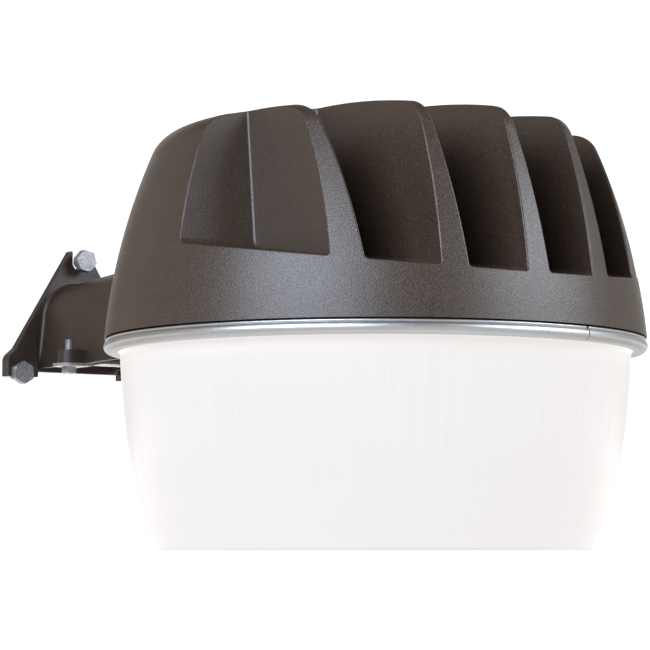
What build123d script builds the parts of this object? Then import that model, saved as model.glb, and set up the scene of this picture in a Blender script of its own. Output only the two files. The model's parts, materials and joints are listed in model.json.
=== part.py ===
from build123d import *
import math
import os

# Area light: a cast dome with a finned front half, a drop lens held by a rolled
# trim band, and a horizontal arm that ends in a three-bolt wall plate.
#
# Work frame D: origin on the dome's axis at the height of the lens's flat
# bottom, front = -Y, wall = +Y, near side = -X, millimetres.
# Every piece is moved at the end so that the row's origin is the centre of the
# pipe entry, on the wall plane.

# ---------------------------------------------------------------- dimensions
R_BAND = 145.0          # outer radius of the trim band
DOME_TOP = 233.58       # top of the dome's crown above the lens bottom
CROWN_SHIFT = 9.0       # the crown's middle lies this far in front of the axis
SKIRT_Z = 112.3         # lower edge of the dome's skirt
SKIRT_R = 144.7         # outer radius there
FLANK_MID = (136.57, 160.0)
FLANK_HIGH = (122.125, 205.0)
SHOULDER_R = 19.08      # radius of the rounded shoulder
CROWN_R = 515.84        # radius of the shallow crown
WALL = 3.6              # casting thickness
FIN_PITCH = 45.3        # five parallel fins
FIN_HALF_LOW = 6.8      # half thickness at FIN_Z_LOW
FIN_Z_LOW = 140.0
FIN_DRAFT = 0.054       # half thickness lost per millimetre of height
FLOOR_Z_FRONT = 137.0   # slot floor at XL = 141
FLOOR_SLOPE = 0.144     # the floor rises to the back
SLOT_BACK_TOP = 16.0    # back wall of the slots at z = 221, in front of the axis
SLOT_BACK_LEAN = 0.20
WALL_Y = 336.0          # wall plane, from the dome's axis
PIPE_Z = 138.0          # axis of the pipe entry above the lens bottom
PIPE_R = 21.08          # 1-1/4 nominal pipe
ENTRY_R = 21.5          # hole in the wall plate
SADDLE_R = 21.18        # cradle the pipe is clamped into
PLATE_T = 6.0
FOOT_T = 9.0
NOTCH_R = 4.8           # open notch for a 5/16 bolt
BOLT_R = 3.9
BOLT_AF = 12.7
TOP_BOLT_Z = 184.0
TOP_BOLT_GAP = 5.0      # the top bolt's head stands off the plate
FOOT_BOLT_X = 42.7
FOOT_BOLT_Z = 111.3
CLAMP_Y = 278.0         # 58 mm from the wall
CLAMP_X = 35.0
CLAMP_R = 2.42          # screw shank
LUG_HOLE_R = 3.0        # plain hole in the clamp lug
LUG_R = 7.0
CLAMP_TRAVEL = 10.0
LENS_T = 2.6

PLACE = Location((0, -WALL_Y, -PIPE_Z))


def rad(p):
    return math.radians(p)


def ring_z(r0, r1, z0, z1):
    """Flat ring about the dome axis."""
    o = Pos(0, 0, (z0 + z1) / 2) * Cylinder(r1, z1 - z0)
    if r0 <= 0:
        return o
    return o - Pos(0, 0, (z0 + z1) / 2) * Cylinder(r0, z1 - z0 + 2)


def cyl_z(x, y, r, z0, z1):
    return Pos(x, y, (z0 + z1) / 2) * Cylinder(r, z1 - z0)


def cyl_y(x, z, r, y0, y1):
    return Pos(x, (y0 + y1) / 2, z) * Rot(90, 0, 0) * Cylinder(r, y1 - y0)


def box(x0, x1, y0, y1, z0, z1):
    return Pos((x0 + x1) / 2, (y0 + y1) / 2, (z0 + z1) / 2) * Box(
        x1 - x0, y1 - y0, z1 - z0)


def hex_z(x, y, af, z0, z1, turn=0.0, crown=0.35, top=True):
    """Hexagon head with its corners turned off at the free face."""
    h = extrude(RegularPolygon(af / 2, 6, major_radius=False, rotation=turn), z1 - z0)
    h = Pos(x, y, z0) * h
    rc = af / math.sqrt(3)
    cone_h = rc * 0.9
    if top:
        c = Pos(x, y, z1 - cone_h / 2 + crown * 0) * Cone(
            rc + cone_h * 1.7 - 0.9, rc - 0.9, cone_h)
    else:
        c = Pos(x, y, z0 + cone_h / 2) * Cone(rc - 0.9, rc + cone_h * 1.7 - 0.9, cone_h)
    return h & c


def revolve_rz(pts_wire):
    """Revolve a wire drawn in the XZ plane about Z."""
    return revolve(make_face(pts_wire), axis=Axis.Z)


# ------------------------------------------------------------- dome profile
def flank_circle():
    (ax, az), (bx, bz), (cx, cz) = (SKIRT_R, SKIRT_Z), FLANK_MID, FLANK_HIGH
    a11, a12 = 2 * (bx - ax), 2 * (bz - az)
    a21, a22 = 2 * (cx - ax), 2 * (cz - az)
    b1 = bx * bx + bz * bz - ax * ax - az * az
    b2 = cx * cx + cz * cz - ax * ax - az * az
    d = a11 * a22 - a12 * a21
    x, z = (b1 * a22 - b2 * a12) / d, (a11 * b2 - a21 * b1) / d
    return x, z, math.hypot(ax - x, az - z)


FX, FZ, FR = flank_circle()
CZ = DOME_TOP - CROWN_R


def flank_r(z, off=0.0):
    return FX + math.sqrt((FR - off) ** 2 - (z - FZ) ** 2)


def dome_solid(off, z0):
    """The dome's outer shape moved in by off, closed at height z0."""
    zt = 246.0
    zm = (z0 + zt) / 2
    body = revolve_rz(Wire([
        ThreePointArc((flank_r(z0, off), 0, z0), (flank_r(zm, off), 0, zm),
                      (flank_r(zt, off), 0, zt)),
        Line((flank_r(zt, off), 0, zt), (0, 0, zt)),
        Line((0, 0, zt), (0, 0, z0)),
        Line((0, 0, z0), (flank_r(z0, off), 0, z0)),
    ]))
    crown = Pos(0, -CROWN_SHIFT, CZ) * Rot(90, 0, 0) * Sphere(CROWN_R - off)
    body = body & crown
    rim = [e for e in body.edges() if e.bounding_box().min.Z > 205]
    return fillet(rim, SHOULDER_R - off)


def fin_half(z):
    return FIN_HALF_LOW - FIN_DRAFT * (z - FIN_Z_LOW)


def keep(shape, origin, normal):
    """Keep the part of shape on the side the normal points to."""
    return split(shape, bisect_by=Plane(origin=origin, z_dir=normal), keep=Keep.TOP)


# Front distance XL = -y, near-side distance YL = -x.
def slot_tool(yl_low, yl_high):
    """Space between two drafted fins; None on a side leaves it open."""
    s = FIN_DRAFT
    b = box(-220, 220, -260, 40, 100, 300)
    zl = FIN_Z_LOW
    if yl_low is not None:      # the fin on the far side of the slot
        y0 = yl_low + FIN_HALF_LOW
        b = keep(b, (-y0, 0, zl), (-1, 0, s))
    if yl_high is not None:     # the fin on the near side of the slot
        y1 = yl_high - FIN_HALF_LOW
        b = keep(b, (-y1, 0, zl), (1, 0, s))
    return b


def floor_cut(b, drop=0.0):
    # z >= FLOOR_Z_FRONT + FLOOR_SLOPE * (141 - XL) - drop
    return keep(b, (0, -141.0, FLOOR_Z_FRONT - drop), (0, -FLOOR_SLOPE, 1))


def back_cut(b):
    # XL >= SLOT_BACK_TOP + LEAN * (221 - z)
    return keep(b, (0, -SLOT_BACK_TOP, 221.0), (0, -1, SLOT_BACK_LEAN))


def outer_back_cut(b, side):
    # XL >= 84.79 - 0.2222 * YL - 0.2003 * z on the near side, mirrored on the far side
    # a point of the plane: YL = 120, z = 180 -> XL = 22.07
    n = (-0.2222 * side, -1.0, 0.2003)
    return keep(b, (-120.0 * side, -22.07, 180.0), n)


def inner(tool):
    """The tool's edges that end up inside the dome."""
    bb = tool.bounding_box()
    es = []
    for e in tool.edges():
        c = e.center()
        on_outer = (abs(c.Z - bb.max.Z) < 0.5 or abs(c.Y - bb.min.Y) < 0.5
                    or abs(c.X - 220) < 0.5 or abs(c.X + 220) < 0.5)
        if not on_outer:
            es.append(e)
    return es


def inner_edges(tool, r):
    """Round the edges where the tool's back wall, floor and sides meet."""
    return fillet(inner(tool), r)


def pocket_edges(tool, r_floor, r):
    """A larger radius between the pocket's back wall and floor."""
    low = [e for e in inner(tool) if e.bounding_box().size.X > 60
           and e.bounding_box().size.Y < 60]
    t = fillet(low, r_floor)
    return fillet([e for e in inner(t) if e.bounding_box().size.X < 12
                   and e.geom_type != GeomType.OTHER], r)


centres = [FIN_PITCH * k for k in (2, 1, 0, -1, -2)]
tools = []
for k in range(4):
    t = slot_tool(centres[k + 1], centres[k])
    t = floor_cut(back_cut(t))
    tools.append(inner_edges(t, 1.7))
for raw in (floor_cut(outer_back_cut(slot_tool(centres[0], None), 1)),
            floor_cut(outer_back_cut(slot_tool(None, centres[4]), -1))):
    try:
        t = pocket_edges(raw, 5.0, 1.7)
        if not t.is_valid:
            raise ValueError("not valid")
        print("pocket radii ok")
    except Exception as ex:
        print("pocket: one radius only,", type(ex).__name__)
        t = inner_edges(raw, 2.2)
    tools.append(t)

outer = dome_solid(0.0, SKIRT_Z)
shell = outer
for t in tools:
    shell = shell - t

# soften the fin ends and pocket rims where they meet the dome's outer surface
EDGE_R = 0.8
try:
    rim_edges = []
    for e in shell.edges():
        c = e.position_at(0.5)
        rr = math.hypot(c.X, c.Y)
        if c.Z > SKIRT_Z + 8 and e.length > 6:
            rr_out = flank_r(c.Z) if c.Z < 210 else None
            if rr_out and abs(rr - rr_out) < 0.25:
                rim_edges.append(e)
    print("rim edges", len(rim_edges))
    shell2 = fillet(rim_edges, EDGE_R)
    if shell2.is_valid and len(shell2.solids()) == 1:
        shell = shell2
        print("rim fillet ok")
except Exception as ex:
    print("rim fillet left out:", type(ex).__name__)

# ------------------------------------------------------------------ cavity
cav = dome_solid(WALL, SKIRT_Z - 0.01)
cav = cav & Pos(0, 0, 0) * box(-200, 200, -200, 200, SKIRT_Z - 0.01, 400)
cav_rear = keep(cav, (0, -9.0, 221.0), (0, 1, -0.17))
cav_low = keep(cav, (0, -141.0, FLOOR_Z_FRONT - 4.2), (0, FLOOR_SLOPE, -1))
cavity = cav_rear + cav_low
housing = shell - cavity

# seat for the lens: a ring inside the skirt with a hooked foot for the band
seat = ring_z(134.0, 142.6, SKIRT_Z, 118.0) & dome_solid(0.6, SKIRT_Z)
seat = seat + ring_z(134.0, 139.4, 108.9, 112.6) + ring_z(134.0, 142.2, 108.9, 109.75)
housing = housing + seat

# plate bosses around the seat
BOSS_A = (38, 142, 218, 322)
for a in BOSS_A:
    b = Rot(0, 0, a) * box(118.0, 139.0, -6.5, 6.5, 121.2, 160.0)
    b = b & dome_solid(1.2, SKIRT_Z)
    b = keep(b, (0, -141.0, FLOOR_Z_FRONT - 1.2), (0, FLOOR_SLOPE, -1)) if a > 180 else b
    housing = housing + b
# a flat inside pad that the arm is screwed through
pad = box(-34, 34, 124, 145, 121.2, 172) & dome_solid(1.0, SKIRT_Z)
housing = housing + pad
# short cast posts on the slot floor's underside that back the plate's middle
for px, py in ((-42, -78), (42, -78)):
    p = cyl_z(px, py, 5.0, 121.2, 160)
    p = keep(p, (0, -141.0, FLOOR_Z_FRONT - 1.2), (0, FLOOR_SLOPE, -1))
    housing = housing + p

# tapped holes for the plate screws
PLATE_R = 124.0
for a in BOSS_A:
    x, y = PLATE_R * math.cos(rad(a)), PLATE_R * math.sin(rad(a))
    housing = housing - cyl_z(x, y, 1.75, 110, 133)
# arm screws and wire way through the rear wall
ARM_HOLES = ((-17.0, 132.0), (17.0, 132.0), (0.0, 157.0))
ARM_WIRE = (0.0, 126.8)
for x, z in ARM_HOLES:
    housing = housing - cyl_y(x, z, 2.75, 118, 150)
housing = housing - cyl_y(ARM_WIRE[0], ARM_WIRE[1], 5.6, 118, 150)
# photocell hole, low on the far rear of the dome
PC_A = 55.0
PC_Z = 150.0
pc_r = FX + math.sqrt(FR * FR - (PC_Z - FZ) ** 2)
PC_TILT = math.degrees(math.asin((PC_Z - FZ) / FR))
PC = Pos(0, 0, PC_Z) * Rot(0, 0, PC_A) * Pos(pc_r, 0, 0) * Rot(0, 90 - PC_TILT, 0)
housing = housing + ((PC * Pos(0, 0, -5.0) * Cylinder(15.0, 8.0)) & dome_solid(0.8, SKIRT_Z))
housing = housing - PC * Pos(0, 0, 8.5) * Cylinder(14.5, 18.0)
housing = housing - PC * Cylinder(8.2, 40.0)
# ground screw boss on the left inside of the rear half
GX, GY = -98.0, 40.0
gb = box(-112, -90, 32, 48, 121.2, 160) & dome_solid(1.0, SKIRT_Z)
gb = gb + (box(-140, -100, 36, 44, 121.2, 160) & dome_solid(1.0, SKIRT_Z))
housing = housing + gb
housing = housing - cyl_z(GX, GY, 2.0, 146, 162)
housing = housing.solids().sort_by(SortBy.VOLUME)[-1]

# ------------------------------------------------------------------- lens
def lens_profile(inset):
    """Points of the lens's outer wall moved in by inset."""
    pts = [(118.9, 2.2), (124.3, 19.9), (130.1, 45.2), (133.7, 72.0), (136.1, 101.5)]
    return [(r - inset, z) for r, z in pts]


lo = lens_profile(0)
li = lens_profile(LENS_T)
FL_Z0, FL_Z1 = 105.95, 107.95
lens_w = Wire([
    Line((0, 0, 0), (116.4, 0, 0)),
    ThreePointArc((116.4, 0, 0), (118.15, 0, 0.68), (118.9, 0, 2.2)),
    Spline(*[(r, 0, z) for r, z in lo]),
    Line((136.1, 0, 101.5), (136.35, 0, FL_Z0)),
    Line((136.35, 0, FL_Z0), (142.3, 0, FL_Z0)),
    Line((142.3, 0, FL_Z0), (142.3, 0, FL_Z1)),
    Line((142.3, 0, FL_Z1), (133.6, 0, FL_Z1)),
    Line((133.6, 0, FL_Z1), (133.5, 0, 101.5)),
    Spline(*[(r, 0, z) for r, z in reversed([(li[0][0], 4.2)] + li[1:])]),
    ThreePointArc((li[0][0], 0, 4.2), (115.85, 0, 3.05), (114.6, 0, LENS_T)),
    Line((114.6, 0, LENS_T), (0, 0, LENS_T)),
    Line((0, 0, LENS_T), (0, 0, 0)),
])
lens = revolve_rz(lens_w)

# ------------------------------------------------------------- trim band
band_w = Wire([
    Line((137.7, 0, 104.55), (142.6, 0, 104.55)),
    ThreePointArc((142.6, 0, 104.55), (R_BAND, 0, 107.75), (142.6, 0, 110.95)),
    Line((142.6, 0, 110.95), (139.8, 0, 110.95)),
    Line((139.8, 0, 110.95), (139.8, 0, 110.0)),
    Line((139.8, 0, 110.0), (142.45, 0, 110.0)),
    ThreePointArc((142.45, 0, 110.0), (143.9, 0, 107.75), (142.45, 0, 105.7)),
    Line((142.45, 0, 105.7), (137.7, 0, 105.7)),
    Line((137.7, 0, 105.7), (137.7, 0, 104.55)),
])
band = revolve_rz(band_w)
SEAM_A = -77.6
band = band - Rot(0, 0, SEAM_A) * box(130, 150, -0.35, 0.35, 100, 115)
gasket = ring_z(134.4, 141.6, 108.0, 108.86)

# --------------------------------------------------- light engine and gear
plate = ring_z(0, 131.5, 117.2, 121.0)
for a in BOSS_A:
    x, y = PLATE_R * math.cos(rad(a)), PLATE_R * math.sin(rad(a))
    plate = plate - cyl_z(x, y, 2.25, 110, 130)
plate = plate - cyl_z(0, -104.5, 6.1, 110, 130)
board_z0, board_z1 = 115.0, 116.6
board = ring_z(0, 98.0, board_z0, board_z1)
pad_sheet = ring_z(0, 97.0, 116.65, 117.15)
BS = [(84.0 * math.cos(rad(a)), 84.0 * math.sin(rad(a))) for a in (0, 90, 180, 270)]
for x, y in BS:
    board = board - cyl_z(x, y, 1.9, 110, 120)
    pad_sheet = pad_sheet - cyl_z(x, y, 1.9, 110, 120)
    plate = plate - cyl_z(x, y, 1.7, 110, 125)
chips = []
for r, n, a0 in ((14, 6, 0), (32, 12, 15), (50, 18, 0), (67, 24, 7.5)):
    for i in range(n):
        a = a0 + 360 * i / n
        chips.append(Rot(0, 0, a) * box(r - 1.75, r + 1.75, -1.75, 1.75, 114.35, 115.0))
board_screws = []
for x, y in BS:
    s = cyl_z(x, y, 3.2, 112.9, 114.95) + cyl_z(x, y, 1.45, 113.5, 120.6)
    s = s - cyl_z(x, y, 1.5, 112.5, 114.0)
    board_screws.append(s)
board_conn = box(-7.5, 7.5, -96.0, -89.0, 109.6, 114.95)
board_conn = board_conn - box(-5.6, 5.6, -97.5, -92.0, 110.8, 113.6)
conn_plug = box(-5.3, 5.3, -99.5, -92.3, 111.0, 113.4)

# white pan between the board and the lens seat
pan = revolve(make_face(Polyline(
    (99.2, 0, 115.1), (103.0, 0, 115.1), (128.5, 0, 111.6), (131.0, 0, 111.6),
    (131.0, 0, 117.0), (130.0, 0, 117.0), (130.0, 0, 112.6), (128.6, 0, 112.6),
    (103.1, 0, 116.1), (99.2, 0, 116.1), close=True)), axis=Axis.Z)
pan = pan - cyl_z(0, -104.5, 6.6, 105, 118)
for a in BOSS_A:
    x, y = PLATE_R * math.cos(rad(a)), PLATE_R * math.sin(rad(a))
    pan = pan - cyl_z(x, y, 2.3, 105, 118)
plate_screws = []
for a in BOSS_A:
    x, y = PLATE_R * math.cos(rad(a)), PLATE_R * math.sin(rad(a))
    s = cyl_z(x, y, 3.9, 109.2, 111.5) + cyl_z(x, y, 1.7, 111.0, 131.0)
    s = s - cyl_z(x, y, 1.8, 109.0, 110.4)
    plate_screws.append(s)
lead_bush = ring_z(3.6, 6.05, 116.9, 121.3) + ring_z(3.6, 7.6, 121.15, 123.2)
lead_bush = Pos(0, -104.5, 0) * lead_bush

# driver on the plate, in the rear half
DRV = (-62.0, 62.0, 8.0, 58.0, 121.1, 153.0)
driver = box(*DRV)
driver = fillet(driver.edges().filter_by(Axis.X), 2.0)
for x in (-68.0, 68.0):
    driver = driver + box(min(x, 0) - 6 if x < 0 else 60, 60 * (-1 if x < 0 else 1) if x < 0 else 74,
                          24, 42, 121.1, 123.4)
for x in (-68.0, 68.0):
    driver = driver - cyl_z(x, 33, 2.3, 120, 126)
    plate = plate - cyl_z(x, 33, 1.7, 110, 125)
driver_screws = []
for x in (-68.0, 68.0):
    s = cyl_z(x, 33, 3.8, 123.5, 126.2) + cyl_z(x, 33, 1.6, 117.4, 124.0)
    s = s - box(x - 0.5, x + 0.5, 30, 36, 125.2, 127)
    driver_screws.append(s)

# surge module beside it and the terminal block near the arm
surge = box(-96, -74, -6, 30, 121.1, 141)
surge = fillet(surge.edges().filter_by(Axis.Z), 3.0)
TB = (-22.0, 22.0, 72.0, 92.0, 121.1, 138.0)
tb = box(*TB)
tb_screws = []
for x in (-14.0, 0.0, 14.0):
    for y in (76.5, 87.5):
        tb = tb - cyl_z(x, y, 3.3, 131.0, 140)
        s = cyl_z(x, y, 2.7, 131.1, 134.6)
        s = s - box(x - 2.2, x + 2.2, y - 0.4, y + 0.4, 133.6, 136)
        tb_screws.append(s)
    tb = tb - cyl_y(x, 127.0, 1.9, 85.0, 95.0)
    tb = tb - cyl_y(x, 127.0, 1.9, 70.0, 79.0)

# ground screw
ground = cyl_z(GX, GY, 4.2, 160.4, 163.2) + cyl_z(GX, GY, 1.9, 148, 161)
ground = ground - box(GX - 0.5, GX + 0.5, GY - 4.5, GY + 4.5, 162.2, 164)

# photocell: window button, seal and nut
pc_body = PC * (Pos(0, 0, 1.6) * Cylinder(12.0, 3.0) + Pos(0, 0, -9.0) * Cylinder(7.9, 19.0))
pc_body = pc_body - PC * Pos(0, 0, 3.3) * Cylinder(8.2, 2.0)
pc_lens = PC * Pos(0, 0, 3.4) * Cylinder(7.9, 1.9)
pc_lens = fillet(pc_lens.edges().sort_by_distance(
    (PC * Pos(0, 0, 10)).position)[0], 0.8)
pc_seal = PC * (Pos(0, 0, -0.22) * Cylinder(11.5, 0.5) - Cylinder(8.3, 4))
pc_nut = PC * Pos(0, 0, -14.6) * (extrude(RegularPolygon(11.0, 6, major_radius=False), 4.0)
                                 - Cylinder(8.0, 20))

# -------------------------------------------------------------------- wires
def wire(pts, rads, d):
    p = FilletPolyline(*pts, radius=rads) if rads else Polyline(*pts)
    start, tang = p.position_at(0), p.tangent_at(0)
    prof = Plane(origin=start, z_dir=tang) * Circle(d / 2)
    w = sweep(prof, path=p)
    return w, p.length


wire_len = {}


def lead(name, pts, d=2.4, big=None):
    """A lead along straight runs joined by tangent arcs."""
    vs = [Vector(*p) for p in pts]
    runs = [(vs[i + 1] - vs[i]).length for i in range(len(vs) - 1)]
    rads = []
    for i in range(1, len(vs) - 1):
        a = (vs[i] - vs[i - 1]).get_angle(vs[i + 1] - vs[i])
        r = 0.45 * min(runs[i - 1], runs[i]) / math.tan(rad(a) / 2)
        rads.append(min(r, 60.0))
    s, ln = wire(pts, rads, d)
    wire_len[name] = (round(ln, 1), [round(r, 1) for r in rads],
                      round(s.volume / (math.pi * d * d / 4 * ln), 3))
    return s


supply_black = lead("supply", [(-3.4, 150.0, 126.0), (-3.4, 118.0, 126.0), (-9.0, 105.0, 126.6),
                               (-14.0, 96.5, 127.0), (-14.0, 86.4, 127.0)])
supply_white = lead("supply2", [(3.4, 150.0, 126.0), (3.3, 118.0, 126.0), (1.0, 106.0, 126.6),
                                (0.0, 97.0, 127.0), (0.0, 86.4, 127.0)])
supply_green = lead("supply3", [(0.0, 150.0, 129.6), (0.3, 120.0, 129.8), (-14.0, 108.0, 140.0),
                                (-40.0, 92.0, 154.0), (-68.0, 70.0, 166.0), (-88.0, 50.0, 168.5),
                                (-97.0, 41.0, 165.0)], 2.4)
drv_in_black = lead("drv1", [(-14.0, 77.6, 127.0), (-14.0, 71.5, 127.0), (-17.0, 66.0, 130.5),
                             (-17.0, 58.2, 130.5)], 2.2)
drv_in_white = lead("drv2", [(0.0, 77.6, 127.0), (0.0, 71.5, 127.0), (-4.0, 66.0, 130.5),
                             (-4.0, 58.2, 130.5)], 2.2)
led_red = lead("led1", [(-10.0, 7.8, 131.0), (-10.0, -10.0, 131.0), (-6.5, -40.0, 128.0),
                        (-3.0, -70.0, 128.4), (-1.6, -90.0, 129.0), (-1.5, -103.2, 127.0),
                        (-1.5, -104.7, 119.5), (-1.5, -104.3, 113.6), (-1.5, -102.6, 112.2),
                        (-1.5, -99.6, 112.2)], 1.8)
led_black = lead("led2", [(6.0, 7.8, 131.0), (6.0, -10.0, 131.0), (5.5, -40.0, 128.0),
                          (3.0, -70.0, 128.4), (1.6, -90.0, 129.0), (1.5, -103.2, 127.0),
                          (1.5, -104.7, 119.5), (1.5, -104.3, 113.6), (1.5, -102.6, 112.2),
                          (1.5, -99.6, 112.2)], 1.8)

# ---------------------------------------------------------------------- arm
ARM_LOW = 115.05        # lower edges of the channel's sides
ARM_HALF = 27.9         # half width there
ARM_DRAFT = 0.098
ARM_WALL = 3.5
ARM_RISE = 0.055        # the arm's top rises towards the dome
ARM_TOP = 168.5         # top at the wall plate
ARM_CORNER = 22.0
ARM_END = WALL_Y - PLATE_T - 8.0    # the channel's rear end, before the plate's collar


def arm_section(y, inset=0.0, z_low=None):
    z_low = ARM_LOW + inset if z_low is None else z_low
    top = ARM_TOP + ARM_RISE * (WALL_Y - PLATE_T - y) - inset

    def half(z):
        return ARM_HALF - inset - ARM_DRAFT * (z - ARM_LOW)

    f = make_face(Polyline((-half(z_low), 0, z_low), (half(z_low), 0, z_low),
                           (half(top), 0, top), (-half(top), 0, top), close=True))
    f = fillet([v for v in f.vertices() if v.Z > z_low + 5], ARM_CORNER - inset)
    return Pos(0, y, 0) * f


def arm_body(y0, y1, inset=0.0, z_low=None):
    return loft([arm_section(y0, inset, z_low), arm_section(y1, inset, z_low)], ruled=True)


def along_y(face, y0, y1):
    """Extrude a face drawn at y = 0 from y0 to y1."""
    return Pos(0, y0, 0) * extrude(face, amount=y1 - y0, dir=(0, 1, 0))


# The arm, its wall plate, saddle, stop rib and clamp lugs are one casting in the
# real light; here they are separate solids that touch and don't overlap.
hollow = arm_body(153.0, WALL_Y + 5, ARM_WALL, ARM_LOW - 6)
arm = arm_body(120.0, ARM_END) - dome_solid(-0.9, 100.0)
arm = arm - hollow

# wall plate: a triangle with a notched apex and two notched feet
PLATE_Y = WALL_Y - PLATE_T
plate_pts = [
    (-6.3, 190.9), (-44.8, 127.2), (-51.3, 121.5), (-51.3, 109.2),
    (-30.5, 109.2), (-30.5, 112.8), (30.5, 112.8), (30.5, 109.2), (51.3, 109.2),
    (51.3, 121.5), (44.8, 127.2), (6.3, 190.9)]
wp = make_face(Polyline(*[(x, 0, z) for x, z in plate_pts], close=True))
wp = fillet([v for v in wp.vertices() if 126 < v.Z < 128], 3.0)
wp = fillet([v for v in wp.vertices() if 121 < v.Z < 122], 6.0)
prism = along_y(wp, WALL_Y - FOOT_T - 1, WALL_Y)
wall_plate = prism & box(-60, 60, PLATE_Y, WALL_Y, 100, 200)
# the feet are thicker and run out into the plate's front face
for sx in (-1, 1):
    foot = make_face(Polyline((0, PLATE_Y + 1, 100), (0, WALL_Y - FOOT_T, 100),
                              (0, WALL_Y - FOOT_T, 120.5), (0, PLATE_Y, 137.5),
                              (0, PLATE_Y + 1, 137.5), close=True))
    foot = extrude(foot, amount=30.0, dir=(sx, 0, 0))
    foot = Pos(sx * 30.5, 0, 0) * foot
    wall_plate = wall_plate + (foot & prism)
collar = arm_body(ARM_END, PLATE_Y + 1.0)
wall_plate = wall_plate + collar
seam = []
for e in wall_plate.edges():
    bb = e.bounding_box()
    if bb.size.Y < 0.01 and abs(bb.min.Y - PLATE_Y) < 0.01:
        c = e.position_at(0.5)
        side_x = ARM_HALF - ARM_DRAFT * (c.Z - ARM_LOW)
        if (abs(c.X) < side_x + 0.3 and ARM_LOW + 1 < c.Z < ARM_TOP + 1.5
                and e.geom_type == GeomType.BSPLINE):
            seam.append(e)
print("plate seam edges", len(seam))
for r in (2.8, 2.4, 2.0):
    try:
        w2 = fillet(seam, r)
        if w2.is_valid:
            wall_plate = w2
            print("plate fillet", r)
            break
    except Exception as ex:
        print("plate fillet left out", r, type(ex).__name__)
wall_plate = wall_plate - (hollow & box(-60, 60, 0, PLATE_Y, 100, 200))
wall_plate = wall_plate - cyl_y(0, PIPE_Z, ENTRY_R, PLATE_Y - 10, WALL_Y + 2)
wall_plate = wall_plate - box(-ENTRY_R, ENTRY_R, PLATE_Y - 9, PLATE_Y, 108.0, PIPE_Z)
wall_plate = wall_plate - box(-NOTCH_R, NOTCH_R, WALL_Y - 20, WALL_Y + 5, TOP_BOLT_Z - 0.4, 200)
wall_plate = wall_plate - cyl_y(0, TOP_BOLT_Z - 0.4, NOTCH_R, WALL_Y - 20, WALL_Y + 5)
for sx in (-1, 1):
    wall_plate = wall_plate - box(sx * FOOT_BOLT_X - NOTCH_R, sx * FOOT_BOLT_X + NOTCH_R,
                                  WALL_Y - 20, WALL_Y + 5, 100, FOOT_BOLT_Z)
    wall_plate = wall_plate - cyl_y(sx * FOOT_BOLT_X, FOOT_BOLT_Z, NOTCH_R, WALL_Y - 20, WALL_Y + 5)
tips = [e for e in wall_plate.edges().filter_by(Axis.Y) if e.center().Z > 188]
try:
    w2 = fillet(tips, 0.9)
    if w2.is_valid:
        wall_plate = w2
except Exception as ex:
    print("tips left sharp", type(ex).__name__)
wall_plate = wall_plate.solids().sort_by(SortBy.VOLUME)[-1]

# saddle that the pipe is clamped into, and a stop rib
saddle = hollow & box(-60, 60, CLAMP_Y - 14.0, CLAMP_Y + 14.0, 134.0, 190.0)
saddle = saddle - cyl_y(0, PIPE_Z, SADDLE_R, 200, 400)
stop = hollow & box(-60, 60, 205.0, 209.0, 146.0, 190.0)
stop = stop - cyl_y(0, PIPE_Z, 16.5, 190, 220)
# clamp lugs on the channel's sides
arm_outer = arm_body(200.0, ARM_END)
lugs = {}
for nm, sx in (("left", -1), ("right", 1)):
    lug = cyl_z(sx * CLAMP_X, CLAMP_Y, LUG_R, 115.1, 122.9)
    lug = lug + box(min(sx * 26.0, sx * CLAMP_X), max(sx * 26.0, sx * CLAMP_X),
                    CLAMP_Y - LUG_R, CLAMP_Y + LUG_R, 115.1, 122.9)
    lug = (lug - arm_outer) - box(-26.5, 26.5, 200, 320, 110, 130)
    lug = lug - cyl_z(sx * CLAMP_X, CLAMP_Y, LUG_HOLE_R, 110, 124)
    lugs[nm] = lug.solids().sort_by(SortBy.VOLUME)[-1]
    # room for the screw's tip beside the channel
    arm = arm - cyl_z(sx * CLAMP_X, CLAMP_Y, CLAMP_R + 0.6, 122.9, 131.5)
# tapped holes, wire way
for x, z in ARM_HOLES:
    arm = arm - cyl_y(x, z, 2.1, 130, 150.5)
arm = arm - cyl_y(ARM_WIRE[0], ARM_WIRE[1], 7.5, 130, 160)
arm = arm.solids().sort_by(SortBy.VOLUME)[-1]

arm_gasket = arm_body(120.0, 160.0, 1.5)
arm_gasket = (arm_gasket & dome_solid(-0.86, 100.0)) - dome_solid(-0.04, 99.0)
for x, z in ARM_HOLES:
    arm_gasket = arm_gasket - cyl_y(x, z, 2.8, 118, 160)
arm_gasket = arm_gasket - cyl_y(ARM_WIRE[0], ARM_WIRE[1], 7.5, 118, 160)
arm_gasket = [g for g in arm_gasket.solids() if g.center().Y > 100]
arm_gasket = sorted(arm_gasket, key=lambda g: -g.volume)[0]
bush = cyl_y(ARM_WIRE[0], ARM_WIRE[1], 7.3, 145.3, 155.0)
bush = bush + cyl_y(ARM_WIRE[0], ARM_WIRE[1], 9.5, 153.1, 156.0)
bush = bush - cyl_y(ARM_WIRE[0], ARM_WIRE[1], 5.0, 140, 160)
arm_screws = []
for x, z in ARM_HOLES:
    s = cyl_y(x, z, 4.6, 119.6, 123.9) + cyl_y(x, z, 2.0, 122, 149.5)
    s = s - cyl_y(x, z, 2.1, 119.0, 121.8)
    arm_screws.append(s)

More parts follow.
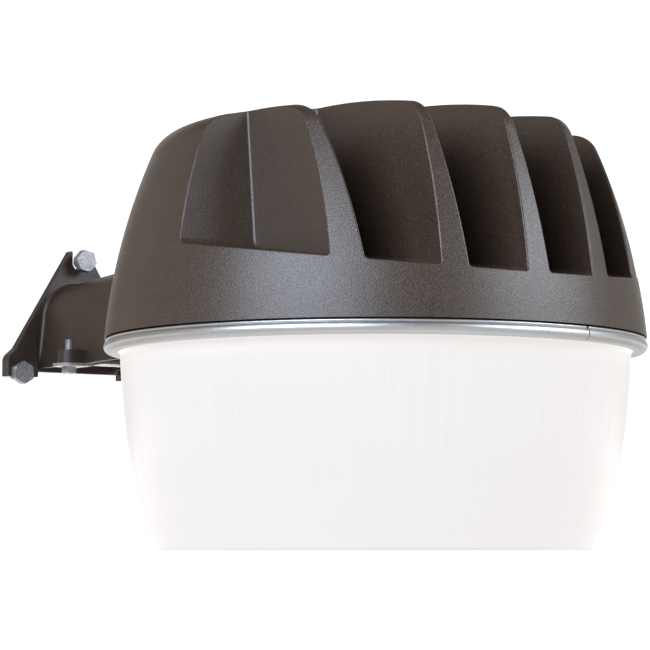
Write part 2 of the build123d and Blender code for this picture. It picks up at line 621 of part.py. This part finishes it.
# -------------------------------------------------------------------- clamp
t_s = 1.8
sp = [(-24.5, 112.8), (-19.0, 114.55), (19.0, 114.55), (24.5, 112.8)]
strap_face = make_face(Polyline(
    (-46.3, 0, 112.8), (-24.5, 0, 112.8), (-19.0, 0, 114.55), (19.0, 0, 114.55),
    (24.5, 0, 112.8), (46.3, 0, 112.8), (46.3, 0, 114.6), (24.1, 0, 114.6),
    (18.6, 0, 116.35), (-18.6, 0, 116.35), (-24.1, 0, 114.6), (-46.3, 0, 114.6),
    close=True))
strap = along_y(strap_face, CLAMP_Y - 10, CLAMP_Y + 10)
outline = cyl_z(-CLAMP_X, CLAMP_Y, 10.0, 105, 125) + cyl_z(CLAMP_X, CLAMP_Y, 10.0, 105, 125)
outline = outline + box(-CLAMP_X, CLAMP_X, CLAMP_Y - 10, CLAMP_Y + 10, 105, 125)
strap = strap & outline
clamp_bolts = {}
for nm, sx in (("left", -1), ("right", 1)):
    strap = strap - cyl_z(sx * CLAMP_X, CLAMP_Y, 2.8, 105, 125)
    s = cyl_z(sx * CLAMP_X, CLAMP_Y, CLAMP_R, 111.5, 129.2)
    s = s + Pos(sx * CLAMP_X, CLAMP_Y, 129.4) * Cone(CLAMP_R, CLAMP_R - 0.5, 0.5)
    s = s + hex_z(sx * CLAMP_X, CLAMP_Y, 8.0, 108.4, 112.7, 12 * sx, top=False)
    clamp_bolts[nm] = s

# --------------------------------------------------------------- wall bolts
def wall_bolt(x, z, face_y, turn, gap=0.05):
    """Hex head gap in front of face_y; the shank ends gap before the wall plane."""
    h = hex_z(0, 0, BOLT_AF, 0.0, 5.4, turn, top=True)
    n = WALL_Y - face_y
    h = h + Pos(0, 0, -n / 2 + 0.01) * Cylinder(BOLT_R, n - 0.02)
    return Pos(x, face_y - gap, z) * Rot(90, 0, 0) * h


b_top = wall_bolt(0, TOP_BOLT_Z, PLATE_Y, 48, TOP_BOLT_GAP)
b_near = wall_bolt(-FOOT_BOLT_X, FOOT_BOLT_Z, WALL_Y - FOOT_T, 31)
b_far = wall_bolt(FOOT_BOLT_X, FOOT_BOLT_Z, WALL_Y - FOOT_T, 22)

# --------------------------------------------------------------------- out
pieces = {
    "housing_dome": housing,
    "mounting_arm": arm,
    "wall_plate": wall_plate,
    "pipe_saddle": saddle,
    "pipe_stop": stop,
    "clamp_lug_left": lugs["left"],
    "clamp_lug_right": lugs["right"],
    "arm_gasket": arm_gasket,
    "arm_wire_bushing": bush,
    "arm_screws": arm_screws,
    "trim_band": band,
    "lens_refractor": lens,
    "lens_gasket": gasket,
    "gear_plate": plate,
    "gear_plate_screws": plate_screws,
    "thermal_pad": pad_sheet,
    "led_board": board,
    "led_emitters": chips,
    "led_board_screws": board_screws,
    "board_socket": board_conn,
    "board_plug": conn_plug,
    "reflector_pan": pan,
    "plate_wire_bushing": lead_bush,
    "led_driver": driver,
    "driver_screws": driver_screws,
    "surge_protector": surge,
    "terminal_block": tb,
    "terminal_screws": tb_screws,
    "ground_screw": ground,
    "photocell_body": pc_body,
    "photocell_window": pc_lens,
    "photocell_seal": pc_seal,
    "photocell_nut": pc_nut,
    "supply_lead_black": supply_black,
    "supply_lead_white": supply_white,
    "ground_lead_green": supply_green,
    "driver_lead_black": drv_in_black,
    "driver_lead_white": drv_in_white,
    "led_lead_red": led_red,
    "led_lead_black": led_black,
    "clamp_strap": strap,
    "clamp_screw_left": clamp_bolts["left"],
    "clamp_screw_right": clamp_bolts["right"],
    "wall_bolt_top": b_top,
    "wall_bolt_left": b_near,
    "wall_bolt_right": b_far,
}

os.makedirs("parts", exist_ok=True)
for name, shape in pieces.items():
    if isinstance(shape, list):
        solids = [s for it in shape for s in it.solids()]
    else:
        solids = list(shape.solids())
    out = Compound(children=[PLACE * s for s in solids]) if len(solids) > 1 else PLACE * solids[0]
    export_step(out, os.path.join("parts", name + ".step"))
    print(name, len(solids), round(sum(s.volume for s in solids), 1))
for n, v in wire_len.items():
    print("lead", n, "length", v[0], "radii", v[1], "volume ratio", v[2])
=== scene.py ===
import json
import math

import bmesh
import bpy
from mathutils import Matrix, Vector


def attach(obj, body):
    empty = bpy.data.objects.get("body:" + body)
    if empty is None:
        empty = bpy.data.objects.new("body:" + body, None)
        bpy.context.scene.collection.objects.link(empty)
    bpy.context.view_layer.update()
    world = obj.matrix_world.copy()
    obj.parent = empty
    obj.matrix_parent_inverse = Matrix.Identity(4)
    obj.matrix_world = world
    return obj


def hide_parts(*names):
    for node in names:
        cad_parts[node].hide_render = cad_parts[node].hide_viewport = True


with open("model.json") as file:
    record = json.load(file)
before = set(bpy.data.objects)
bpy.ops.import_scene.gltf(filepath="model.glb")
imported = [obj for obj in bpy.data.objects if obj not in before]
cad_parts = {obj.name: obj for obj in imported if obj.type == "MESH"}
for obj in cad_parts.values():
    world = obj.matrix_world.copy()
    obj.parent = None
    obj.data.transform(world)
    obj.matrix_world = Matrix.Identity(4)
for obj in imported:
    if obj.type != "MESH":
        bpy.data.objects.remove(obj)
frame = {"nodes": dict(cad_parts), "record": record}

sc = bpy.context.scene
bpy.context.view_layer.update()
nodes = frame["nodes"]

# The dome's axis and the lens's flat bottom, in the row frame.
AX = Vector((0.0, -0.336, -0.138))


def at(x, y, z):
    """A point given in millimetres from the dome's axis and the lens bottom."""
    return AX + Vector((x, y, z)) / 1000.0


# ------------------------------------------------------------------ materials
def new_mat(name):
    m = bpy.data.materials.new(name)
    m.use_nodes = True
    nt = m.node_tree
    nt.nodes.clear()
    out = nt.nodes.new("ShaderNodeOutputMaterial")
    b = nt.nodes.new("ShaderNodeBsdfPrincipled")
    nt.links.new(b.outputs["BSDF"], out.inputs["Surface"])
    return m, nt, b


def obj_coords(nt):
    tc = nt.nodes.new("ShaderNodeTexCoord")
    return tc.outputs["Object"]


def noise(nt, vec, scale, detail=2.0, rough=0.5, dist=0.0):
    n = nt.nodes.new("ShaderNodeTexNoise")
    n.inputs["Scale"].default_value = scale
    n.inputs["Detail"].default_value = detail
    n.inputs["Roughness"].default_value = rough
    n.inputs["Distortion"].default_value = dist
    nt.links.new(vec, n.inputs["Vector"])
    return n.outputs["Fac"]


def ramp(nt, fac, stops):
    r = nt.nodes.new("ShaderNodeValToRGB")
    el = r.color_ramp.elements
    while len(el) < len(stops):
        el.new(0.5)
    for e, (p, c) in zip(el, stops):
        e.position = p
        e.color = (c, c, c, 1.0) if not isinstance(c, tuple) else (*c, 1.0)
    nt.links.new(fac, r.inputs["Fac"])
    return r.outputs["Color"]


def mapr(nt, fac, lo, hi, a=0.0, b=1.0):
    r = nt.nodes.new("ShaderNodeMapRange")
    r.inputs["From Min"].default_value = a
    r.inputs["From Max"].default_value = b
    r.inputs["To Min"].default_value = lo
    r.inputs["To Max"].default_value = hi
    nt.links.new(fac, r.inputs["Value"])
    return r.outputs["Result"]


def mix(nt, fac, a, b):
    m = nt.nodes.new("ShaderNodeMix")
    m.data_type = "RGBA"
    for sock, v in ((m.inputs["Factor"], fac), (m.inputs["A"], a), (m.inputs["B"], b)):
        if isinstance(v, (float, int)):
            sock.default_value = v
        elif isinstance(v, tuple):
            sock.default_value = (*v, 1.0)
        else:
            nt.links.new(v, sock)
    return m.outputs["Result"]


def math_node(nt, op, a, b):
    m = nt.nodes.new("ShaderNodeMath")
    m.operation = op
    for sock, v in ((m.inputs[0], a), (m.inputs[1], b)):
        if isinstance(v, (float, int)):
            sock.default_value = v
        else:
            nt.links.new(v, sock)
    return m.outputs["Value"]


def bump(nt, height, strength, distance, normal=None):
    b = nt.nodes.new("ShaderNodeBump")
    b.inputs["Strength"].default_value = strength
    b.inputs["Distance"].default_value = distance
    nt.links.new(height, b.inputs["Height"])
    if normal is not None:
        nt.links.new(normal, b.inputs["Normal"])
    return b.outputs["Normal"]


def bronze_coat(name="bronze_coat", k=1.0):
    """Dark bronze powder coat: dense fine sand texture over a slight orange peel."""
    # k below 1 gives a darker copy with less specular, used as painted shade on the arm
    def tone(r, g, bl):
        return (r * k, g * k, bl * k)

    m, nt, b = new_mat(name)
    v = obj_coords(nt)
    fine = noise(nt, v, 1250.0, 2.0, 0.7)
    mid = noise(nt, v, 520.0, 2.0, 0.5)
    wide = noise(nt, v, 26.0, 3.0, 0.55)
    base = mix(nt, mapr(nt, wide, 0.0, 1.0, 0.3, 0.7), tone(0.040, 0.0236, 0.0138), tone(0.047, 0.028, 0.0168))
    base = mix(nt, mapr(nt, fine, 0.0, 0.45, 0.40, 0.70), base, tone(0.125, 0.090, 0.067))
    nt.links.new(base, b.inputs["Base Color"])
    rough = mapr(nt, fine, 0.30, 0.47, 0.35, 0.65)
    nt.links.new(rough, b.inputs["Roughness"])
    b.inputs["Specular IOR Level"].default_value = 0.7 * k
    b.inputs["Metallic"].default_value = 0.0
    n1 = bump(nt, mid, 0.14, 0.0002)
    n2 = bump(nt, fine, 0.7, 0.00020, n1)
    nt.links.new(n2, b.inputs["Normal"])
    return m


def metal(name, col, rough, scale=900.0, grain=None, dirt=0.25, aniso=0.0):
    m, nt, b = new_mat(name)
    v = obj_coords(nt)
    if grain is not None:
        mp = nt.nodes.new("ShaderNodeMapping")
        mp.inputs["Scale"].default_value = grain
        nt.links.new(v, mp.inputs["Vector"])
        v2 = mp.outputs["Vector"]
    else:
        v2 = v
    n = noise(nt, v2, scale, 3.0, 0.6)
    w = noise(nt, v, 60.0, 3.0, 0.6)
    dark = tuple(c * (1.0 - dirt) for c in col)
    nt.links.new(mix(nt, mapr(nt, w, 0.0, 1.0, 0.35, 0.68), col, dark), b.inputs["Base Color"])
    b.inputs["Metallic"].default_value = 1.0
    nt.links.new(mapr(nt, n, rough * 0.8, rough * 1.25, 0.3, 0.7), b.inputs["Roughness"])
    b.inputs["Anisotropic"].default_value = aniso
    nt.links.new(bump(nt, n, 0.25, 0.00006), b.inputs["Normal"])
    return m


def zinc():
    """Zinc plated fasteners: mottled spangle, darker in random patches."""
    m, nt, b = new_mat("zinc_steel")
    v = obj_coords(nt)
    vo = nt.nodes.new("ShaderNodeTexVoronoi")
    vo.inputs["Scale"].default_value = 700.0
    nt.links.new(v, vo.inputs["Vector"])
    sp = noise(nt, v, 1100.0, 3.0, 0.7)
    w = noise(nt, v, 170.0, 3.0, 0.6)
    c = mix(nt, mapr(nt, vo.outputs["Distance"], 0.0, 1.0, 0.1, 0.7), (0.44, 0.44, 0.445), (0.27, 0.27, 0.275))
    c = mix(nt, mapr(nt, w, 0.0, 0.6, 0.4, 0.7), c, (0.12, 0.12, 0.122))
    nt.links.new(c, b.inputs["Base Color"])
    b.inputs["Metallic"].default_value = 0.5
    nt.links.new(mapr(nt, sp, 0.26, 0.44, 0.3, 0.7), b.inputs["Roughness"])
    nt.links.new(bump(nt, sp, 0.5, 0.0001), b.inputs["Normal"])
    return m


def plain(name, col, rough, scale=500.0, var=0.12, depth=0.00006, strength=0.35, spec=0.5):
    """Moulded or coated material with a fine surface and slight colour drift."""
    m, nt, b = new_mat(name)
    v = obj_coords(nt)
    n = noise(nt, v, scale, 4.0, 0.6)
    w = noise(nt, v, scale / 12.0, 3.0, 0.5)
    dark = tuple(c * (1.0 - var) for c in col)
    nt.links.new(mix(nt, mapr(nt, w, 0.0, 1.0, 0.35, 0.65), col, dark), b.inputs["Base Color"])
    nt.links.new(mapr(nt, n, rough * 0.85, min(1.0, rough * 1.2), 0.3, 0.7), b.inputs["Roughness"])
    b.inputs["Specular IOR Level"].default_value = spec
    nt.links.new(bump(nt, n, strength, depth), b.inputs["Normal"])
    return m


def lens_white():
    """White prismatic acrylic with faint vertical streaks; its even brightness is painted light, an emission glow
    that stands in for the light on and through it.
    """
    m, nt, b = new_mat("white_lens")
    v = obj_coords(nt)
    sep = nt.nodes.new("ShaderNodeSeparateXYZ")
    mp = nt.nodes.new("ShaderNodeMapping")
    mp.inputs["Location"].default_value = (0.0, 0.336, 0.0)
    nt.links.new(v, mp.inputs["Vector"])
    nt.links.new(mp.outputs["Vector"], sep.inputs[0])
    ang = nt.nodes.new("ShaderNodeMath")
    ang.operation = "ARCTAN2"
    nt.links.new(sep.outputs["Y"], ang.inputs[0])
    nt.links.new(sep.outputs["X"], ang.inputs[1])
    comb = nt.nodes.new("ShaderNodeCombineXYZ")
    nt.links.new(math_node(nt, "MULTIPLY", ang.outputs[0], 60.0), comb.inputs["X"])
    nt.links.new(math_node(nt, "MULTIPLY", sep.outputs["Z"], 9.0), comb.inputs["Y"])
    streak = noise(nt, comb.outputs["Vector"], 1.0, 3.0, 0.6)
    c = mix(nt, mapr(nt, streak, 0.0, 1.0, 0.35, 0.7), (0.24, 0.232, 0.226), (0.234, 0.225, 0.219))
    nt.links.new(c, b.inputs["Base Color"])
    nt.links.new(mapr(nt, streak, 0.22, 0.34, 0.3, 0.7), b.inputs["Roughness"])
    b.inputs["Specular IOR Level"].default_value = 0.3
    b.inputs["Subsurface Weight"].default_value = 0.0
    # painted light: an even emission glow, streaked like the base colour, keeps the lens bright and unshaded
    glow = mix(nt, mapr(nt, streak, 0.0, 1.0, 0.35, 0.7), (0.682, 0.652, 0.640), (0.664, 0.633, 0.621))
    # painted light: extra emission towards the rim lifts the shade under the band, with a little more towards the
    # bottom edge
    up = mapr(nt, sep.outputs["Z"], 0.0, 1.0, -0.138, -0.030)
    painted_glow_lift = ramp(nt, up, ((0.0, 0.36), (0.35, 0.20), (0.70, 0.06), (0.88, 0.12), (1.0, 1.0)))
    glow = mix(nt, painted_glow_lift, glow, (0.80, 0.77, 0.755))
    nt.links.new(glow, b.inputs["Emission Color"])
    b.inputs["Emission Strength"].default_value = 1.0
    return m


MATS = {
    "bronze_coat": bronze_coat(),
    "black_rubber": plain("black_rubber", (0.025, 0.025, 0.026), 0.7, 700.0),
    "zinc_steel": zinc(),
    "bright_band": metal("bright_band", (0.56, 0.56, 0.555), 0.38, 300.0, (1.0, 1.0, 30.0), 0.05),
    "white_lens": lens_white(),
    "grey_foam": plain("grey_foam", (0.25, 0.25, 0.26), 0.8, 900.0),
    "plain_aluminium": metal("plain_aluminium", (0.70, 0.70, 0.71), 0.36, 260.0, (1.0, 24.0, 1.0), 0.12),
    "white_board": plain("white_board", (0.82, 0.82, 0.79), 0.4, 300.0, 0.05),
    "yellow_phosphor": plain("yellow_phosphor", (0.86, 0.66, 0.12), 0.45, 1500.0, 0.12),
    "white_plastic": plain("white_plastic", (0.80, 0.80, 0.74), 0.42, 600.0, 0.06),
    "white_paint": plain("white_paint", (0.86, 0.86, 0.84), 0.45, 380.0, 0.05),
    "driver_case": plain("driver_case", (0.26, 0.27, 0.28), 0.45, 420.0, 0.1),
    "green_steel": plain("green_steel", (0.02, 0.16, 0.05), 0.4, 500.0, 0.2),
    "black_plastic": plain("black_plastic", (0.03, 0.03, 0.032), 0.42, 800.0),
    "black_wire": plain("black_wire", (0.02, 0.02, 0.02), 0.45, 600.0),
    "white_wire": plain("white_wire", (0.80, 0.80, 0.77), 0.45, 600.0, 0.06),
    "green_wire": plain("green_wire", (0.01, 0.15, 0.035), 0.45, 600.0),
    "red_wire": plain("red_wire", (0.42, 0.012, 0.01), 0.45, 600.0),
}


def window():
    m, nt, b = new_mat("clear_window")
    v = obj_coords(nt)
    n = noise(nt, v, 260.0, 2.0, 0.5)
    nt.links.new(mix(nt, mapr(nt, n, 0.0, 1.0, 0.3, 0.7), (0.50, 0.56, 0.60), (0.58, 0.64, 0.68)), b.inputs["Base Color"])
    nt.links.new(mapr(nt, n, 0.06, 0.12, 0.3, 0.7), b.inputs["Roughness"])
    b.inputs["Transmission Weight"].default_value = 0.75
    b.inputs["IOR"].default_value = 1.5
    return m


MATS["clear_window"] = window()
# painted shade: the arm's parts get a darker copy of the bronze coat, with less specular, for the shade they sit in
ARM_SHADED_COAT = bronze_coat("bronze_coat_arm_painted_shade", 0.66)
ARM_NODES = ("mounting_arm", "wall_plate", "pipe_saddle", "pipe_stop", "clamp_lug_left", "clamp_lug_right")

for sub in frame["record"]["subparts"]:
    o = nodes[sub["node"]]
    mat = ARM_SHADED_COAT if sub["node"] in ARM_NODES else MATS[sub["material_slot"]]
    if not o.material_slots:
        o.data.materials.append(mat)
    for s in o.material_slots:
        s.link = "OBJECT"
        s.material = mat

# ------------------------------------------------------------------ the lens
def lens_mesh():
    """The drop lens with its fine upright flutes, inside the CAD lens's space."""
    prof = [(118.9, 2.2), (121.9, 11.5), (124.3, 19.9), (126.2, 28.4), (128.2, 36.8), (130.1, 45.2),
            (131.5, 53.8), (132.7, 62.2), (133.7, 72.0), (134.6, 80.0), (135.3, 88.0), (136.1, 101.5),
            (136.3, 105.9)]
    n = 648
    bm = bmesh.new()
    rings = []

    def ring(r, z, depth):
        vs = []
        for i in range(n):
            a = 2 * math.pi * i / n
            k = 1.0 if i % 2 == 0 else 0.0
            rr = r - depth * (1.0 - k)
            vs.append(bm.verts.new(at(rr * math.cos(a), rr * math.sin(a), z)))
        rings.append(vs)

    # outside, from the flat bottom's middle outwards and up
    for r, z in ((60.0, 0.0), (100.0, 0.0), (114.0, 0.0), (116.4, 0.02), (117.4, 0.28), (118.2, 0.8), (118.7, 1.5)):
        ring(r, z, 0.0)
    for i, (r, z) in enumerate(prof):
        ring(r, z, 0.22 if 0 < i < len(prof) - 1 else 0.0)
    for r, z in ((142.2, 105.96), (142.2, 107.94), (133.7, 107.94)):
        ring(r, z, 0.0)
    for r, z in reversed(prof[:-1]):
        ring(r - 2.6, max(z, 4.4), 0.0)
    for r, z in ((115.4, 2.9), (113.0, 2.62), (100.0, 2.6), (60.0, 2.6)):
        ring(r, z, 0.0)
    for a, b in zip(rings, rings[1:]):
        for i in range(n):
            j = (i + 1) % n
            bm.faces.new((a[i], a[j], b[j], b[i]))
    lo = bm.verts.new(at(0, 0, 0))
    hi = bm.verts.new(at(0, 0, 2.6))
    for i in range(n):
        j = (i + 1) % n
        bm.faces.new((lo, rings[0][j], rings[0][i]))
        bm.faces.new((hi, rings[-1][i], rings[-1][j]))
    bmesh.ops.recalc_face_normals(bm, faces=bm.faces)
    me = bpy.data.meshes.new("fluted_lens")
    bm.to_mesh(me)
    bm.free()
    o = bpy.data.objects.new("fluted_lens", me)
    sc.collection.objects.link(o)
    for p in me.polygons:
        p.use_smooth = True
    me.materials.append(MATS["white_lens"])
    return o


lens = lens_mesh()
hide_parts("lens_refractor")
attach(lens, "fixture")

def band_lip():
    """The band's rolled upper lip, close under the dome's edge, open at the seam."""
    prof = [(141.6, 110.2), (143.6, 110.2), (144.0, 110.5), (144.15, 110.95), (144.0, 111.4),
            (143.5, 111.62), (141.6, 111.62)]
    n = 720
    seam = math.radians(-77.6)
    half = math.radians(0.22)
    bm = bmesh.new()
    rings = []
    for i in range(n + 1):
        a = seam + half + (2 * math.pi - 2 * half) * i / n
        rings.append([bm.verts.new(at(r * math.cos(a), r * math.sin(a), z)) for r, z in prof])
    k = len(prof)
    for p, q in zip(rings, rings[1:]):
        for i in range(k):
            j = (i + 1) % k
            bm.faces.new((p[i], q[i], q[j], p[j]))
    bm.faces.new(rings[0])
    bm.faces.new(list(reversed(rings[-1])))
    bmesh.ops.recalc_face_normals(bm, faces=bm.faces)
    me = bpy.data.meshes.new("band_lip")
    bm.to_mesh(me)
    bm.free()
    for p in me.polygons:
        p.use_smooth = len(p.vertices) == 4
    o = bpy.data.objects.new("band_lip", me)
    sc.collection.objects.link(o)
    me.materials.append(MATS["bright_band"])
    return o


lip = band_lip()
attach(lip, "fixture")

# ------------------------------------------------------------ stage and light
def plane(name, size, z, col, glow):
    bm = bmesh.new()
    bmesh.ops.create_grid(bm, x_segments=2, y_segments=2, size=size)
    me = bpy.data.meshes.new(name)
    bm.to_mesh(me)
    bm.free()
    o = bpy.data.objects.new(name, me)
    o.location = (0, 0, z)
    sc.collection.objects.link(o)
    m, nt, b = new_mat(name)
    v = obj_coords(nt)
    n = noise(nt, v, 3.0, 2.0, 0.5)
    nt.links.new(mix(nt, mapr(nt, n, 0.0, 1.0, 0.3, 0.7), col, tuple(c * 0.985 for c in col)), b.inputs["Base Color"])
    b.inputs["Roughness"].default_value = 0.9
    b.inputs["Specular IOR Level"].default_value = 0.1
    # the floor brightens with distance, and does not light the part from below
    o.visible_diffuse = False
    ln = nt.nodes.new("ShaderNodeVectorMath")
    ln.operation = "LENGTH"
    nt.links.new(v, ln.inputs[0])
    far = mapr(nt, ln.outputs["Value"], 0.0, 1.0, 4.0, 22.0)
    nt.links.new(mix(nt, far, (0.42, 0.42, 0.42), (1.0, 1.0, 1.0)), b.inputs["Emission Color"])
    b.inputs["Emission Strength"].default_value = glow
    me.materials.append(m)
    return o


# a pale floor that brightens to white in the distance
plane("floor", 60.0, -2.0, (0.93, 0.93, 0.93), 1.1)

world = bpy.data.worlds.new("studio")
sc.world = world
world.use_nodes = True
wt = world.node_tree
bg = wt.nodes["Background"]
bg.inputs["Color"].default_value = (1.0, 0.95, 0.88, 1.0)
bg.inputs["Strength"].default_value = 0.14
backdrop = wt.nodes.new("ShaderNodeBackground")
backdrop.inputs["Color"].default_value = (1.0, 1.0, 1.0, 1.0)
backdrop.inputs["Strength"].default_value = 1.2
lp = wt.nodes.new("ShaderNodeLightPath")
pick = wt.nodes.new("ShaderNodeMixShader")
wt.links.new(lp.outputs["Is Camera Ray"], pick.inputs["Fac"])
wt.links.new(bg.outputs[0], pick.inputs[1])
wt.links.new(backdrop.outputs[0], pick.inputs[2])
wt.links.new(pick.outputs[0], wt.nodes["World Output"].inputs["Surface"])


def area(name, pos, target, size, power, col=(1, 1, 1), size_y=None, spread=180.0):
    d = bpy.data.lights.new(name, "AREA")
    d.energy = power
    d.color = col
    d.shape = "RECTANGLE" if size_y else "SQUARE"
    d.size = size
    d.spread = math.radians(spread)
    if size_y:
        d.size_y = size_y
    o = bpy.data.objects.new(name, d)
    o.location = pos
    o.rotation_euler = (Vector(target) - Vector(pos)).to_track_quat("-Z", "Y").to_euler()
    sc.collection.objects.link(o)
    return o


# ------------------------------------------------------------------- camera
RIGHT = Vector((math.cos(math.radians(35)), -math.sin(math.radians(35)), 0.0))
AWAY = Vector((math.sin(math.radians(35)), math.cos(math.radians(35)), 0.0))
CAM_D = 1.4187
YAW = math.radians(1.083)
PITCH = math.radians(4.858)
cam_data = bpy.data.cameras.new("camera")
cam = bpy.data.objects.new("camera", cam_data)
sc.collection.objects.link(cam)
cam.location = AX - AWAY * CAM_D + Vector((0, 0, -0.00005))
flat = AWAY * math.cos(YAW) - RIGHT * math.sin(YAW)
look = flat * math.cos(PITCH) + Vector((0, 0, 1)) * math.sin(PITCH)
cam.rotation_euler = look.to_track_quat("-Z", "Y").to_euler()
cam_data.sensor_width = 36.0
cam_data.lens = 2656.9 / 650.0 * 36.0
cam_data.clip_start = 0.05
cam_data.clip_end = 200.0
sc.camera = cam

# soft boxes, placed by the direction each one is seen in from the dome
mid = AX + Vector((0, 0, 0.16))


def from_view(az, el, dist):
    """A place az degrees right of the camera and el degrees up, from the dome."""
    a, e = math.radians(az), math.radians(el)
    d = -AWAY * math.cos(a) + RIGHT * math.sin(a)
    return mid + (d * math.cos(e) + Vector((0, 0, 1)) * math.sin(e)) * dist


area("key_left", from_view(-31, 22, 1.9), mid, 1.6, 43.0, (0.75, 0.84, 1.0), 0.9)
area("key_right", from_view(71, 22, 2.0), mid, 1.5, 29.5, (0.83, 0.90, 1.0), 0.9)
area("wall_left", from_view(-108, 12, 2.3), mid, 3.0, 6.0, (1.0, 0.86, 0.73), 2.0)
area("wall_right", from_view(118, 14, 2.3), mid, 3.0, 6.0, (1.0, 0.95, 0.9), 2.0)
area("fill_back", from_view(180, 12, 2.6), mid, 2.4, 12.0, (1.0, 0.97, 0.94), 1.6)
area("under_arm", at(-60, 330, -520), at(-10, 275, 120), 0.3, 0.8, (1.0, 0.93, 0.86), None, 30.0)

sc.view_settings.view_transform = "Standard"
sc.view_settings.look = "None"
sc.view_settings.exposure = 0.0
sc.view_settings.gamma = 1.0
